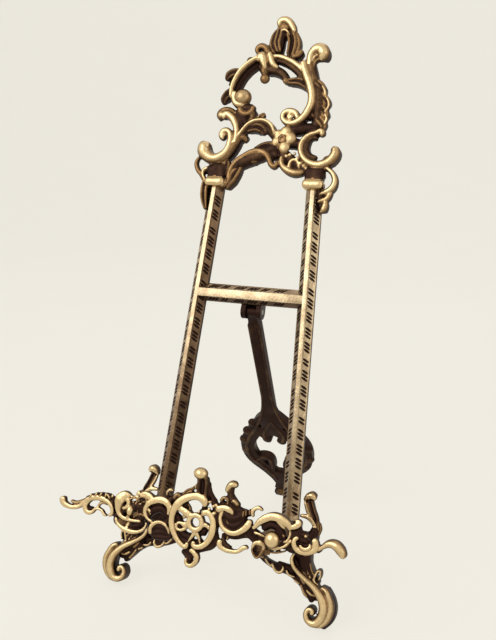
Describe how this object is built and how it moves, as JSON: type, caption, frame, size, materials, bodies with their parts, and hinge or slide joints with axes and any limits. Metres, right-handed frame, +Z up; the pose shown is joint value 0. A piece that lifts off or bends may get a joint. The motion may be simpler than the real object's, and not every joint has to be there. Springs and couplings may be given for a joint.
{
  "type": "folding table easel",
  "caption": "Ornate antique brass table easel with a pierced crest, leaning rails, scroll feet, a ledge with an openwork apron and a hinged rear leg, to hold an album or a picture.",
  "frame": {"origin": "middle of the stand's outline, on the floor", "axes": "+Z up, the front faces -Y, +X to the right as seen from the front"},
  "size_m": [0.2149, 0.2344, 0.4354],
  "materials": {
    "antique_brass": "cast brass, polished on the ridges and darkened in the hollows",
    "brass_screw": "turned brass, dull",
    "steel_pin": "drawn steel, dull"
  },
  "bodies": {
    "frame": {"apron": "antique_brass", "crest": "antique_brass", "cross_bar": "antique_brass", "hinge_pin": "steel_pin", "left_apron_screw": "brass_screw", "left_crest_screw": "brass_screw", "left_foot": "antique_brass", "left_foot_screw": "brass_screw", "left_ledge_arm": "antique_brass", "left_rail": "antique_brass", "right_apron_screw": "brass_screw", "right_crest_screw": "brass_screw", "right_foot": "antique_brass", "right_foot_screw": "brass_screw", "right_ledge_arm": "antique_brass", "right_rail": "antique_brass"},
    "rear_leg": {"rear_leg": "antique_brass"}
  },
  "joints": [
    {"name": "rear_leg_fold", "type": "hinge", "parent": "frame", "child": "rear_leg", "pos_m": [-0.0027, 0.0179, 0.20852], "axis": [-1, 0, 0], "range_deg": [0, 45]}
  ]
}
